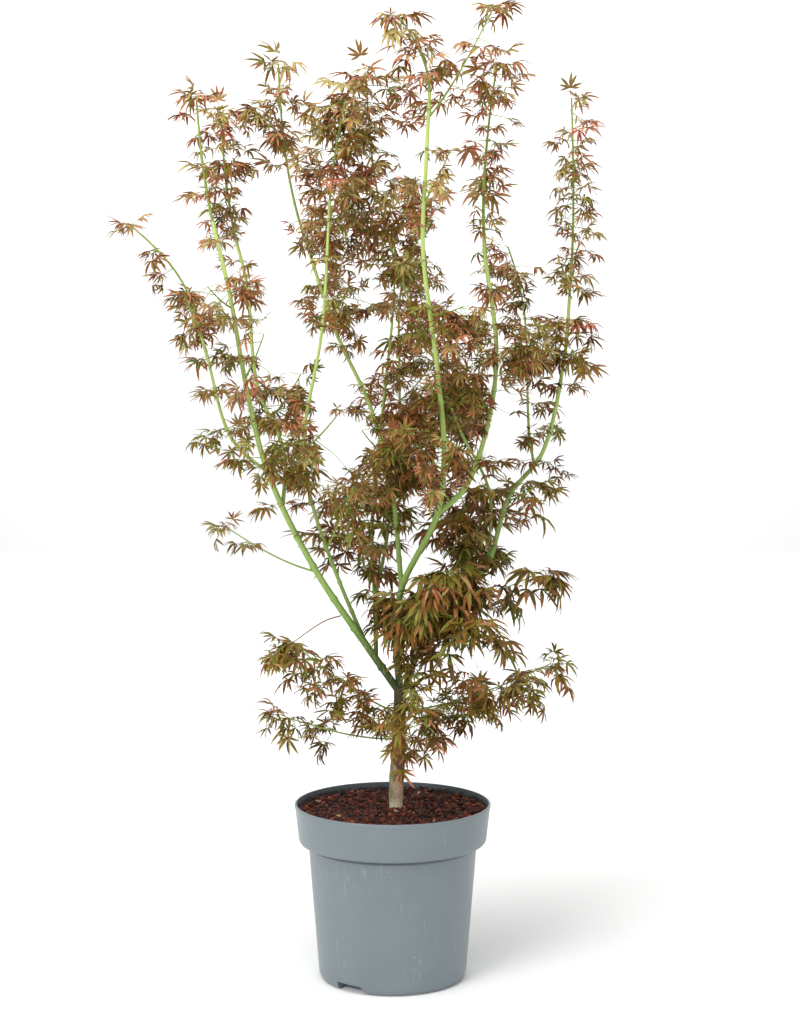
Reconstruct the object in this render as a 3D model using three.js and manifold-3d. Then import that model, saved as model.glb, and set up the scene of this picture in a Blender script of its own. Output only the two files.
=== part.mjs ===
// A potted Japanese maple, 1.45 m tall: a young grafted tree of upright canes in a round nursery pot.
// Millimetres, +Z up. The origin is the middle of the pot's flat underside, and +X is the side of the tall
// outer right cane.
import * as THREE from "three";
import { mergeVertices } from "three/addons/utils/BufferGeometryUtils.js";
import Module from "manifold-3d";

const wasm = await Module();
wasm.setup();

// ---------------------------------------------------------------- driving dimensions

const CLEARANCE = 0.3; // between two pieces that touch
const FINEST = 0.05; // edges shorter than this are closed up
const GROUND = 256; // height of the potting mix where the trunk stands

const POT = {
  height: 265,
  rimRadius: 147.7,
  collarFoot: { radius: 141, z: 210 },
  bodyTop: { radius: 127, z: 205.5 },
  bodyFoot: { radius: 111.3, z: 9 },
  underside: 105, // radius of the flat that it stands on
  wall: 2.2,
  floor: 3,
  sides: 36,
};
const DRAIN = { width: 50, depth: 24, height: 13, wall: 2, count: 3, firstAngle: -124 };
const MIX = { edgeZ: 255, wallGap: 0.5, bedRadius: 60 };

// Each limb grows from its parent at a height, follows its bends to its tip, and tapers from foot to tip.
const LIMBS = [
  { name: "left_bough", on: "trunk", at: 432, foot: 6.6, tip: 2.9,
    bends: [[-34, -10, 498], [-116, -30, 624], [-182, -48, 765], [-213, -35, 885], [-238, -25, 1024],
      [-263, -19, 1132]] },
  { name: "right_bough", on: "trunk", at: 436, foot: 6.0, tip: 2.7,
    bends: [[5, 5, 511], [14, 5, 590], [66, -5, 700], [76, -30, 792], [66, -60, 913], [44, -95, 1087],
      [48, -105, 1209], [53, -112, 1308]] },
  { name: "low_right_bough", on: "trunk", at: 412, foot: 5.2, tip: 2.6,
    bends: [[34, 40, 475], [72, 60, 534], [143, 75, 615], [178, 80, 722], [228, 80, 788], [260, 78, 927],
      [268, 75, 1025]] },
  { name: "left_outer_cane", on: "left_bough", at: 765, foot: 2.6, tip: 2.0,
    bends: [[-234, -60, 816], [-267, -80, 935], [-287, -93, 1012]] },
  { name: "left_inner_cane", on: "left_bough", at: 714, foot: 3.0, tip: 2.4,
    bends: [[-160, -8, 790], [-204, 50, 892], [-222, 90, 1045], [-238, 95, 1111]] },
  { name: "left_centre_cane", on: "left_bough", at: 505, foot: 3.2, tip: 2.0,
    bends: [[-80, 5, 600], [-117, -5, 708], [-132, -25, 798], [-103, -40, 974], [-91, -35, 1162]] },
  { name: "back_left_cane", on: "left_bough", at: 484, foot: 3.4, tip: 2.0,
    bends: [[-27, 50, 566], [-32, 90, 646], [-28, 130, 743], [-14, 160, 868], [-1, 170, 988]] },
  { name: "back_right_cane", on: "back_left_cane", at: 566, foot: 2.7, tip: 1.9,
    bends: [[-10, 100, 650], [9, 170, 805], [9, 195, 992]] },
  { name: "centre_cane", on: "right_bough", at: 588, foot: 4.0, tip: 2.5,
    bends: [[5, 60, 683], [-3, 80, 753], [-38, 100, 867], [-86, 110, 969], [-139, 110, 1130]] },
  { name: "right_cane", on: "right_bough", at: 700, foot: 4.2, tip: 3.0,
    bends: [[110, 15, 742], [146, 28, 849], [155, 30, 950], [138, 30, 1083], [136, 28, 1118]] },
  { name: "crossing_cane", on: "low_right_bough", at: 619, foot: 2.5, tip: 1.8,
    bends: [[148, 92, 728], [102, 100, 825], [49, 80, 967], [14, 60, 1047], [-4, 50, 1102]] },
  { name: "right_inner_cane", on: "low_right_bough", at: 769, foot: 2.2, tip: 1.7,
    bends: [[210, 110, 815], [206, 140, 975], [202, 145, 1014]] },
];

const TRUNK = {
  bends: [[5, 0, GROUND - 12], [5, 0, 284], [10, 0, 360], [11, 0, 440]],
  radii: [9.6, 11.4, 9.9, 8.8], // the swelling low down is the graft
};

// The masses of foliage, under the limb that each grows from. A mass's one stem leaves the limb's side at a
// height, or goes on from its tip. It heads out at an angle in degrees from +X, as far as its reach and up
// by its rise, and the leaves stand off it by about its spread.
const TIP = "tip";
const FOLIAGE = {
  trunk: {
    foot_right: { at: 404, heading: -5, reach: 225, rise: 75, spread: 56 },
    foot_left: { at: 400, heading: -165, reach: 165, rise: 115, spread: 60 },
    foot_left_low: { at: 362, heading: -175, reach: 180, rise: 40, spread: 50 },
    foot_front: { at: 372, heading: -75, reach: 105, rise: 50, spread: 62 },
  },
  left_bough: {
    left_tall_top: { at: TIP, heading: 160, reach: 25, rise: 195, spread: 44 },
    left_tall_tier: { at: 1006, heading: -125, reach: 55, rise: 30, spread: 66 },
    left_fork_front: { at: 903, heading: -60, reach: 65, rise: 65, spread: 64 },
    left_bough_front: { at: 777, heading: -70, reach: 100, rise: 65, spread: 73 },
    left_long_twig: { at: 618, heading: -165, reach: 135, rise: 70, spread: 38 },
  },
  left_outer_cane: {
    left_outer_top: { at: TIP, heading: -160, reach: 90, rise: 110, spread: 42 },
    left_outer_side: { at: 962, heading: -110, reach: 50, rise: 60, spread: 40 },
  },
  left_inner_cane: {
    left_inner_top: { at: TIP, heading: 180, reach: 30, rise: 200, spread: 50 },
    left_inner_low: { at: 843, heading: 55, reach: 75, rise: 65, spread: 73 },
  },
  left_centre_cane: {
    left_centre_top: { at: TIP, heading: 10, reach: 30, rise: 170, spread: 68 },
    left_centre_mid: { at: 798, heading: -40, reach: 75, rise: 60, spread: 68 },
    left_centre_low: { at: 650, heading: -65, reach: 90, rise: 95, spread: 73 },
  },
  back_left_cane: {
    back_left_top: { at: TIP, heading: 85, reach: 20, rise: 160, spread: 71 },
    back_left_low: { at: 623, heading: 130, reach: 65, rise: 80, spread: 73 },
  },
  back_right_cane: {
    back_right_top: { at: TIP, heading: 35, reach: 55, rise: 190, spread: 71 },
    back_right_mid: { at: 866, heading: 50, reach: 85, rise: 60, spread: 80 },
  },
  right_bough: {
    front_top_left: { at: TIP, heading: -170, reach: 60, rise: 110, spread: 48 },
    front_top_right: { at: 1272, heading: 25, reach: 105, rise: 157, spread: 46 },
    front_upper: { at: 1155, heading: -60, reach: 70, rise: 65, spread: 57 },
    front_mid: { at: 996, heading: -50, reach: 70, rise: 10, spread: 68 },
    front_low: { at: 768, heading: -115, reach: 115, rise: 60, spread: 78 },
    low_front: { at: 529, heading: -45, reach: 110, rise: 95, spread: 75 },
  },
  centre_cane: {
    centre_top: { at: TIP, heading: -165, reach: 35, rise: 245, spread: 54 },
    centre_upper: { at: 1085, heading: -50, reach: 65, rise: 85, spread: 71 },
    centre_mid: { at: 1012, heading: 55, reach: 70, rise: 25, spread: 75 },
    centre_deep: { at: 785, heading: -120, reach: 70, rise: 40, spread: 73 },
    centre_foot: { at: 672, heading: 115, reach: 90, rise: 65, spread: 71 },
  },
  right_cane: {
    right_top: { at: TIP, heading: -45, reach: 25, rise: 245, spread: 48 },
    right_mid: { at: 927, heading: -50, reach: 70, rise: 45, spread: 60 },
    right_low: { at: 850, heading: -115, reach: 80, rise: 60, spread: 64 },
  },
  low_right_bough: {
    right_outer_top: { at: TIP, heading: -90, reach: 10, rise: 295, spread: 42 },
    right_outer_mid: { at: 915, heading: -85, reach: 60, rise: 70, spread: 60 },
    right_fork: { at: 715, heading: -50, reach: 70, rise: 30, spread: 56 },
    right_bough_back: { at: 624, heading: 125, reach: 80, rise: 105, spread: 75 },
    low_right_outer: { at: 564, heading: -20, reach: 135, rise: 50, spread: 66 },
    low_right_front: { at: 505, heading: -65, reach: 160, rise: 45, spread: 89 },
  },
  crossing_cane: {
    crossing_top: { at: TIP, heading: -140, reach: 45, rise: 245, spread: 68 },
    crossing_side: { at: 1066, heading: -50, reach: 85, rise: 85, spread: 66 },
    crossing_mid: { at: 952, heading: -120, reach: 90, rise: 45, spread: 75 },
    crossing_low: { at: 835, heading: 120, reach: 75, rise: 35, spread: 75 },
  },
  right_inner_cane: {
    right_inner_top: { at: TIP, heading: 160, reach: 25, rise: 90, spread: 50 },
  },
};

// A leaf's length runs from its root to the tip of its middle lobe, and here it stands for a spray of them.
const LEAF = {
  longest: 108,
  share: 1.28, // of its mass's spread
  stalk: 0.34,
  thickness: 3,
  root: 1.7,
  lobes: 5,
  fan: 51, // degrees between two lobes
  valley: 0.38,
  droop: 0.5,
  tilt: 0.3,
  roll: 0.5,
  clearance: 1,
  attempts: 8,
  sharedVolume: 4, // of two leaves of a pair, inside their twig
  sunk: 0.6,
  evenness: 0.5,
};
const STEM = { sides: 3, foot: 2, tip: 1.3, step: 42, facet: 85, bareTip: 5, bareSide: 20 };
const SHOOT = { radius: 1.1, shortest: 14 };
const LIMB_SIDES = 6;
const LIMB_STEP = 72; // length of one straight facet of a limb

const vec = ([x, y, z]) => new THREE.Vector3(x, y, z);

// ---------------------------------------------------------------- solids

function toSolid(geometry) {
  const bare = geometry.clone();
  for (const extra of ["normal", "uv"]) bare.deleteAttribute(extra);
  const merged = mergeVertices(bare, 1e-4);
  return new wasm.Manifold(new wasm.Mesh({
    numProp: 3,
    vertProperties: merged.attributes.position.array,
    triVerts: new Uint32Array(merged.index.array),
  }));
}

function toGeometry(solid) {
  const mesh = solid.getMesh();
  const geometry = new THREE.BufferGeometry();
  geometry.setAttribute("position", new THREE.BufferAttribute(mesh.vertProperties, 3));
  geometry.setIndex(new THREE.BufferAttribute(mesh.triVerts, 1));
  return geometry;
}

// The largest body of a solid: fusing and cutting can leave a loose scrap.
function mainBody(solid) {
  return solid.decompose().reduce((best, body) => (body.volume() > best.volume() ? body : best));
}

// A closed tube along a curve, with radiusAt(t) for its radius. A cylinder is bent ring by ring, and extra
// thickens it all over for cutting a neighbour clear.
function taperedTube(curve, radiusAt, sides, steps, extra = 0) {
  const frames = curve.computeFrenetFrames(steps);
  const tube = new THREE.CylinderGeometry(1, 1, 1, sides, steps);
  const place = tube.attributes.position;
  const point = new THREE.Vector3();
  for (let i = 0; i < place.count; i++) {
    const ring = Math.round((place.getY(i) + 0.5) * steps);
    const t = ring / steps;
    curve.getPointAt(t, point);
    const radius = radiusAt(t) + extra;
    point.addScaledVector(frames.binormals[ring], place.getX(i) * radius);
    point.addScaledVector(frames.normals[ring], place.getZ(i) * radius);
    if (ring === 0) point.addScaledVector(frames.tangents[0], -extra);
    if (ring === steps) point.addScaledVector(frames.tangents[steps], extra);
    place.setXYZ(i, point.x, point.y, point.z);
  }
  return toSolid(tube);
}

const lerp = THREE.MathUtils.lerp;

// A radius that runs evenly through the given values.
function radiusThrough(values) {
  return (t) => {
    const place = t * (values.length - 1);
    const i = Math.min(Math.floor(place), values.length - 2);
    return lerp(values[i], values[i + 1], place - i);
  };
}

// The share of a rising curve's length at which it passes a height.
function shareAtHeight(curve, z) {
  let [low, high] = [0, 1];
  for (let i = 0; i < 30; i++) {
    const middle = (low + high) / 2;
    if (curve.getPointAt(middle).z < z) low = middle;
    else high = middle;
  }
  return low;
}

// ---------------------------------------------------------------- pot and potting mix

function potProfile() {
  const { height, rimRadius, collarFoot, bodyTop, bodyFoot, underside, wall, floor } = POT;
  const outer = [
    [0, 0],
    [underside, 0],
    [bodyFoot.radius - 1.5, 3],
    [bodyFoot.radius, bodyFoot.z],
    [bodyTop.radius, bodyTop.z],
    [collarFoot.radius - 2.5, collarFoot.z - 3.5],
    [collarFoot.radius, collarFoot.z],
    [rimRadius, height - 3],
    [rimRadius - 1, height],
  ];
  const inner = [
    [rimRadius - 3.2, height],
    [rimRadius - wall - 2, height - 4],
    [collarFoot.radius - wall, collarFoot.z + 2],
    [collarFoot.radius - wall - 2.5, collarFoot.z - 1],
    [bodyTop.radius - wall, bodyTop.z + wall],
    [bodyFoot.radius - wall, bodyFoot.z + 1],
    [bodyFoot.radius - wall - 4, floor],
    [0, floor],
  ];
  return { outer, inner };
}

function turned(profile, sides = POT.sides) {
  return toSolid(new THREE.LatheGeometry(profile.map(([r, z]) => new THREE.Vector2(r, z)), sides)
    .rotateX(Math.PI / 2));
}

// One drain's space at the pot's edge, widened by grow on every side but the outer one.
function drainBlock(index, grow) {
  const block = new THREE.BoxGeometry(DRAIN.depth + grow + 20, DRAIN.width + 2 * grow, DRAIN.height + grow + 5);
  const inside = POT.bodyFoot.radius - DRAIN.depth;
  block.translate(inside + (DRAIN.depth - grow + 20) / 2, 0, (DRAIN.height + grow - 5) / 2);
  const angle = DRAIN.firstAngle + (index * 360) / DRAIN.count;
  return toSolid(block.rotateZ(THREE.MathUtils.degToRad(angle)));
}

function drains(grow) {
  return wasm.Manifold.union(Array.from({ length: DRAIN.count }, (_, i) => drainBlock(i, grow)));
}

function makePot() {
  const { outer, inner } = potProfile();
  const shell = turned([...outer, ...inner]);
  const envelope = turned([...outer, [0, POT.height]]);
  const roofs = drains(DRAIN.wall).intersect(envelope);
  return mainBody(shell.add(roofs).subtract(drains(0)));
}

function makePottingMix() {
  const { inner } = potProfile();
  const wallPoints = inner.slice(2, -1).reverse().map(([r, z]) => [r - MIX.wallGap, z]);
  wallPoints[0][1] += CLEARANCE;
  const [collarRadius, collarZ] = wallPoints.at(-1);
  const slope = (inner[1][0] - inner[2][0]) / (inner[1][1] - inner[2][1]);
  const fill = turned([
    [0, POT.floor + CLEARANCE],
    ...wallPoints,
    [collarRadius + slope * (MIX.edgeZ - collarZ), MIX.edgeZ],
    [MIX.bedRadius, GROUND - CLEARANCE],
    [0, GROUND - CLEARANCE],
  ]);
  return mainBody(fill.subtract(drains(DRAIN.wall + CLEARANCE)));
}

// ---------------------------------------------------------------- trunk and boughs

const limbs = {};
const blockers = []; // every finished solid, thickened by the clearance, that a later one is cut clear of

const apart = (a, b, margin = 0) => {
  const [p, q] = [a.boundingBox(), b.boundingBox()];
  return [0, 1, 2].some((i) => p.min[i] > q.max[i] + margin || q.min[i] > p.max[i] + margin);
};

function cutClear(solid, from = blockers) {
  let left = solid;
  for (const blocker of from) {
    if (!apart(left, blocker)) left = left.subtract(blocker);
  }
  return mainBody(left.asOriginal().simplify(FINEST));
}

function keepLimb(name, curve, radiusAt, trim = (solid) => solid) {
  const steps = Math.max(3, Math.round(curve.getLength() / LIMB_STEP));
  const make = (extra) => trim(taperedTube(curve, radiusAt, LIMB_SIDES, steps, extra));
  const solid = cutClear(make(0));
  blockers.push(make(CLEARANCE));
  limbs[name] = { curve, radiusAt, solid };
}

function makeLimbs() {
  const trunkCurve = new THREE.CatmullRomCurve3(TRUNK.bends.map(vec));
  keepLimb("trunk", trunkCurve, radiusThrough(TRUNK.radii), (s) => s.trimByPlane([0, 0, 1], GROUND));
  for (const { name, on, at, foot, tip, bends } of LIMBS) {
    const parent = limbs[on].curve;
    const start = parent.getPointAt(shareAtHeight(parent, at));
    const curve = new THREE.CatmullRomCurve3([start, ...bends.map(vec)]);
    keepLimb(name, curve, radiusThrough([foot, lerp(foot, tip, 0.62), tip]));
  }
}

// ---------------------------------------------------------------- leaves and foliage

// A steady stream of numbers from 0 to 1 for one mass, so that it always grows the same way.
function seeded(seed) {
  let state = seed * 2654435761;
  return () => {
    state = (state + 0x6d2b79f5) | 0;
    let mixed = Math.imul(state ^ (state >>> 15), 1 | state);
    mixed = (mixed + Math.imul(mixed ^ (mixed >>> 7), 61 | mixed)) ^ mixed;
    return ((mixed ^ (mixed >>> 14)) >>> 0) / 4294967296;
  };
}

// A maple leaf as one thin solid: a stalk that widens to the blade, and narrow lobes that fan from its end.
// Its outline is a flat star with drooping points. Its middle, a little above and below that outline, gives
// its thickness, and the stalk's root is a small triangle that sinks into the twig.
function leafSolid(root, along, up, length) {
  const stalk = length * LEAF.stalk;
  const reach = length - stalk;
  const half = LEAF.root / 2;
  const polar = (degrees, share, droop) => {
    const angle = THREE.MathUtils.degToRad(degrees);
    return [stalk + Math.cos(angle) * reach * share, Math.sin(angle) * reach * share, -droop * reach];
  };
  const outline = [[0, -half, -half], polar(-145, 0.1, 0)];
  const middle = (LEAF.lobes - 1) / 2;
  for (let i = 0; i < LEAF.lobes; i++) {
    const off = i - middle;
    outline.push(polar(off * LEAF.fan, 1 - 0.085 * off * off, LEAF.droop));
    if (off < middle) outline.push(polar((off + 0.5) * LEAF.fan, LEAF.valley, LEAF.droop * LEAF.valley));
  }
  outline.push(polar(145, 0.1, 0), [0, half, -half]);
  const count = outline.length;
  const ridge = count; // the root's upper corner, then the middle's upper and lower points
  const [above, below] = [count + 1, count + 2];
  outline.push([0, 0, half], [stalk, 0, LEAF.thickness / 2], [stalk, 0, -LEAF.thickness / 2]);

  const side = new THREE.Vector3().crossVectors(up, along).normalize();
  const normal = new THREE.Vector3().crossVectors(along, side).normalize();
  const points = outline.map(([u, v, w]) => root.clone().addScaledVector(along, u)
    .addScaledVector(side, v).addScaledVector(normal, w));
  const index = [count - 1, ridge, above, ridge, 0, above, 0, ridge, count - 1, 0, count - 1, below];
  for (let i = 0; i < count - 1; i++) index.push(i, i + 1, above, i + 1, i, below);
  const geometry = new THREE.BufferGeometry().setFromPoints(points);
  geometry.setIndex(index);
  return toSolid(geometry);
}

const isClear = (solid, others) => others.every((other) =>
  apart(solid, other, LEAF.clearance) || solid.minGap(other, 2 * LEAF.clearance) > LEAF.clearance);

// Two leaves of one mass may share the twig's inside, but their blades don't cross.
const crosses = (a, b) => !apart(a, b) && a.intersect(b).volume() > LEAF.sharedVolume;

// The stem of one mass: it leaves its limb, bends up or out, and ends at the mass's tip.
function makeStem(limbName, { at, heading, reach, rise }) {
  const { curve: limbCurve, radiusAt } = limbs[limbName];
  const onTip = at === TIP;
  const share = onTip ? 1 : shareAtHeight(limbCurve, at);
  const foot = limbCurve.getPointAt(share);
  const limbWay = limbCurve.getTangentAt(share);
  const angle = THREE.MathUtils.degToRad(heading);
  const way = new THREE.Vector3(Math.cos(angle) * reach, Math.sin(angle) * reach, rise);
  const tip = foot.clone().add(way);
  const length = way.length();
  const lead = onTip ? limbWay : way.clone().normalize().sub(new THREE.Vector3(0, 0, 0.25));
  if (onTip) foot.addScaledVector(limbWay, -2);
  const knee = foot.clone().addScaledVector(lead, length * 0.4);
  const curve = new THREE.QuadraticBezierCurve3(foot, knee, tip);
  const stemRadius = radiusThrough([Math.min(STEM.foot, radiusAt(share) * 0.8), STEM.tip]);
  const steps = Math.max(2, Math.round(length / STEM.facet));
  const solid = cutClear(taperedTube(curve, stemRadius, STEM.sides, steps));
  blockers.push(taperedTube(curve, stemRadius, STEM.sides, steps, CLEARANCE));
  return { curve, solid, length, way, bare: onTip ? STEM.bareTip / length : STEM.bareSide / length };
}

// One mass: pairs of leaves, or of short shoots with a leaf, up its stem, each pair a quarter turn from the
// last, and a leaf at its tip. A leaf that would touch another piece or cross its own mass's leaves looks
// for another way, and is left off where it finds none.
function growMass({ spread }, stem, seed, others, limbBlockers) {
  const random = seeded(seed);
  const jitter = (amount) => (random() - 0.5) * 2 * amount;
  const fullSize = Math.min(LEAF.longest, spread * LEAF.share);
  const twigs = [stem.solid];
  const leaves = [];

  const addLeaf = (root, along, size) => {
    for (let attempt = 0; attempt < LEAF.attempts; attempt++) {
      const up = new THREE.Vector3(jitter(LEAF.roll), jitter(LEAF.roll), 1);
      const out = along.clone();
      if (attempt > 0) out.add(new THREE.Vector3(jitter(0.8), jitter(0.8), jitter(0.5))).normalize();
      const leaf = leafSolid(root.clone().addScaledVector(out, -LEAF.sunk), out, up, size);
      if (!isClear(leaf, others) || leaves.some((other) => crosses(leaf, other))) continue;
      leaves.push(leaf);
      return;
    }
  };

  const pairs = Math.max(2, Math.round((stem.length * (1 - stem.bare)) / STEM.step));
  const across = new THREE.Vector3(0, 1, 0.01).cross(stem.way).normalize();
  const turn = jitter(0.4);
  for (let pair = 0; pair < pairs; pair++) {
    const t = lerp(stem.bare, 0.97, (pair + 0.5) / pairs);
    const place = stem.curve.getPointAt(t);
    const upStem = stem.curve.getTangentAt(t);
    for (const half of [0, 1]) {
      const angle = turn + (pair % 2) * (Math.PI / 2) + half * Math.PI + jitter(0.35);
      const out = across.clone().applyAxisAngle(upStem, angle).addScaledVector(upStem, 0.3 + jitter(0.2));
      out.z = THREE.MathUtils.clamp(out.z * 0.6, -0.35, 0.35) - LEAF.tilt;
      out.normalize();
      const size = fullSize * lerp(1.05, 0.9, t) * (1 + jitter(0.08));
      const shootLength = spread * (1 + jitter(0.15)) - size * 0.72;
      const end = place.clone().addScaledVector(out, shootLength);
      const shoot = shootLength > SHOOT.shortest &&
        taperedTube(new THREE.LineCurve3(place, end), () => SHOOT.radius, 3, 1);
      if (shoot && isClear(shoot, others)) {
        twigs.push(shoot);
        addLeaf(end, out, size);
      } else addLeaf(place, out, size);
    }
  }
  const ending = stem.curve.getTangentAt(1);
  ending.z = Math.min(ending.z, 0.45);
  addLeaf(stem.curve.getPointAt(1), ending.normalize(), fullSize * 0.8);
  const fused = wasm.Manifold.union([...twigs, ...leaves]).asOriginal().simplify(LEAF.evenness);
  return cutClear(fused, limbBlockers);
}

// ---------------------------------------------------------------- assembly

const finish = (color, roughness) => new THREE.MeshStandardMaterial({ color, roughness, metalness: 0 });
const FINISH = {
  pot: finish(0x87929a, 0.45),
  mix: finish(0x4a2c22, 0.95),
  trunk: finish(0x8b8568, 0.8),
  bough: finish(0x6c9a52, 0.55),
  leaf: finish(0x6f5a2c, 0.6),
};

const tree = new THREE.Group();

function addPiece(name, solid, material) {
  const mesh = new THREE.Mesh(toGeometry(solid), material);
  mesh.name = name;
  tree.add(mesh);
}

const pot = makePot();
const mix = makePottingMix();
addPiece("pot", pot, FINISH.pot);
addPiece("potting_mix", mix, FINISH.mix);

makeLimbs();
for (const [name, { solid }] of Object.entries(limbs)) {
  addPiece(name, solid, name === "trunk" ? FINISH.trunk : FINISH.bough);
}

const limbBlockers = [...blockers];
const masses = Object.entries(FOLIAGE).flatMap(([limbName, onLimb]) =>
  Object.entries(onLimb).map(([name, spec]) => ({ name, spec, stem: makeStem(limbName, spec) })));
const woody = Object.values(limbs).map(({ solid }) => solid);
const grown = [];
masses.forEach(({ name, spec, stem }, i) => {
  const waiting = masses.slice(i + 1).map((mass) => mass.stem.solid);
  grown.push(growMass(spec, stem, i + 1, [pot, mix, ...woody, ...grown, ...waiting], limbBlockers));
  addPiece(`foliage_${name}`, grown[i], FINISH.leaf);
});

export default tree;
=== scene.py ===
# A potted Japanese maple with finely cut leaves: a young grafted tree of upright green canes in a grey pot.
# Metres, +Z up. The origin is the middle of the pot's flat underside. The sections follow the plant as a
# nursery puts it together: the studio it stands in, the pot, the mix, the wood, the twigs and leaves.
import math

import bmesh
import bpy
import numpy as np
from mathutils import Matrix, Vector, noise
from mathutils.kdtree import KDTree


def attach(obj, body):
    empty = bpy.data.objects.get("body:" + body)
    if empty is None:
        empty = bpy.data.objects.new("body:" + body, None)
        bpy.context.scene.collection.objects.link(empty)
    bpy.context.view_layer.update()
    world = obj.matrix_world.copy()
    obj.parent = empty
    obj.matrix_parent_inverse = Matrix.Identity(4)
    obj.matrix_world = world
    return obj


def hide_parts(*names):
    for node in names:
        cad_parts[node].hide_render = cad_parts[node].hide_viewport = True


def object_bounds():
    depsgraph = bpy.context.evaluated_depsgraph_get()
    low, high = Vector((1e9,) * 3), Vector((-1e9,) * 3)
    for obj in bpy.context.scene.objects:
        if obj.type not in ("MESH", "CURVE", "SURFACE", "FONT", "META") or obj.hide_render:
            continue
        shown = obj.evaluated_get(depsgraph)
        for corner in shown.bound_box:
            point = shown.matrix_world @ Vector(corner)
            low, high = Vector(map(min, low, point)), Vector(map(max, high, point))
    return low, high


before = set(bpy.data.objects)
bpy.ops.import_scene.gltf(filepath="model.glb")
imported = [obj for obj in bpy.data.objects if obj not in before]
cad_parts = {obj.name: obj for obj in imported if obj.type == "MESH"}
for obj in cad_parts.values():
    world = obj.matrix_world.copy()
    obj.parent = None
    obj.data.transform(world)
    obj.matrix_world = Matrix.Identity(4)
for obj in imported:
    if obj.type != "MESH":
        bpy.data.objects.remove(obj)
cad_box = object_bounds()
bpy.ops.object.select_all(action="DESELECT")

# ---------------------------------------------------------------- studio
# A seamless sweep of matt white board, under a large soft light overhead, two at the front, a weak one behind
# and one that washes the board's wall. The camera stands three metres off at chest height and looks slightly
# down.

SWEEP = {"half_width": 7.0, "front": -6.0, "back": 6.4, "height": 5.0, "bend": 2.2, "bend_steps": 24}
CAMERA = {"place": (0.01105, -3.0122, 0.950), "down": 0.08142, "lens": 71.3}
SOFT_LIGHTS = {  # place, aim, width, watts
    "overhead": ((-0.5, -0.9, 3.6), (0, 0, 0.9), 2.4, 74),
    "front_left": ((-2.1, -3.0, 2.2), (0, 0, 0.7), 1.8, 60),
    "front_right": ((2.8, -2.2, 1.6), (0, 0, 0.7), 2.0, 9),
    "back_rim": ((1.2, 2.0, 2.6), (0, 0, 0.9), 1.6, 10),
    "wall_wash": ((0, 3.2, 4.2), (0, 5.6, 0.6), 3.0, 150),
}
WORLD_BRIGHTNESS = 0.60


def linear(code):
    """An sRGB hex colour as linear red, green and blue, with alpha."""
    shares = [int(code[i:i + 2], 16) / 255 for i in (1, 3, 5)]
    return (*(s / 12.92 if s <= 0.04045 else ((s + 0.055) / 1.055) ** 2.4 for s in shares), 1.0)


def add_node(tree, kind, inputs=(), out=0, **settings):
    """Adds a shader node and gives back one of its outputs. Its inputs come in order, or by name or number.
    Each is a number, a hex colour, or another node's output to link. A MapRange takes a value, the range it
    comes from and the range it goes to. A Mix of colours has its share at 0 and its colours at 6 and 7."""
    made = tree.nodes.new("ShaderNode" + kind)
    for name, value in settings.items():
        setattr(made, name, value)
    for socket, value in inputs.items() if isinstance(inputs, dict) else enumerate(inputs):
        if isinstance(value, bpy.types.NodeSocket):
            tree.links.new(value, made.inputs[socket])
        else:
            made.inputs[socket].default_value = linear(value) if isinstance(value, str) else value
    return made.outputs[out]


def new_material(name, code, roughness, ior=1.5):
    """A material of one shader, with its base colour, its roughness and how strongly it reflects."""
    material = bpy.data.materials.new(name)
    material.use_nodes = True
    shader = material.node_tree.nodes["Principled BSDF"]
    shader.inputs["Base Color"].default_value = linear(code)
    shader.inputs["Roughness"].default_value = roughness
    shader.inputs["IOR"].default_value = ior
    return material


def add_object(name, data):
    """Puts a light, a camera, a mesh or a curve in the scene."""
    made = bpy.data.objects.new(name, data)
    bpy.context.collection.objects.link(made)
    return made


def select_edges(piece, is_wanted):
    """In edit mode, selects the edges both of whose ends are wanted."""
    mesh = bmesh.from_edit_mesh(piece.data)
    for edge in mesh.edges:
        edge.select_set(all(is_wanted(vertex.co) for vertex in edge.verts))
    mesh.select_flush_mode()
    bmesh.update_edit_mesh(piece.data)


def make_sweep():
    """A plane whose back edge is drawn up into a wall, with the corner between them rounded."""
    bpy.ops.mesh.primitive_plane_add(size=2)
    sweep = bpy.context.object
    sweep.name = "studio_sweep"
    for vertex in sweep.data.vertices:
        x, y, _ = vertex.co
        vertex.co = (x * SWEEP["half_width"], SWEEP["back"] if y > 0 else SWEEP["front"], 0)
    bpy.ops.object.mode_set(mode="EDIT")
    select_edges(sweep, lambda place: place.y > 0)
    bpy.ops.mesh.extrude_region_move(TRANSFORM_OT_translate={"value": (0, 0, SWEEP["height"])})
    select_edges(sweep, lambda place: place.y > 0 and place.z < 0.01)
    bpy.ops.mesh.bevel(offset=SWEEP["bend"], segments=SWEEP["bend_steps"], profile=0.5)
    bpy.ops.object.mode_set(mode="OBJECT")
    bpy.ops.object.shade_smooth()
    # Matt white board has no shine, so the lights leave no bright spot on it.
    sweep.data.materials.append(new_material("matt white board", "#F4F4F3", roughness=0.9))


def make_lights_and_camera():
    for name, (place, aim, width, watts) in SOFT_LIGHTS.items():
        data = bpy.data.lights.new(name, "AREA")
        data.size = width
        data.energy = watts
        light = add_object(name, data)
        light.location = place
        light.rotation_euler = (Vector(aim) - Vector(place)).to_track_quat("-Z", "Y").to_euler()
    world = bpy.data.worlds.new("pale studio")
    bpy.context.scene.world = world
    world.use_nodes = True
    background = world.node_tree.nodes["Background"]
    background.inputs["Color"].default_value = linear("#FBFBFC")
    background.inputs["Strength"].default_value = WORLD_BRIGHTNESS
    camera = add_object("camera", bpy.data.cameras.new("camera"))
    camera.location = CAMERA["place"]
    camera.rotation_euler = (math.radians(90) - CAMERA["down"], 0, 0)
    camera.data.lens = CAMERA["lens"]
    bpy.context.scene.camera = camera
    bpy.context.scene.view_settings.view_transform = "Standard"


make_sweep()
make_lights_and_camera()
bpy.ops.object.select_all(action="DESELECT")

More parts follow.
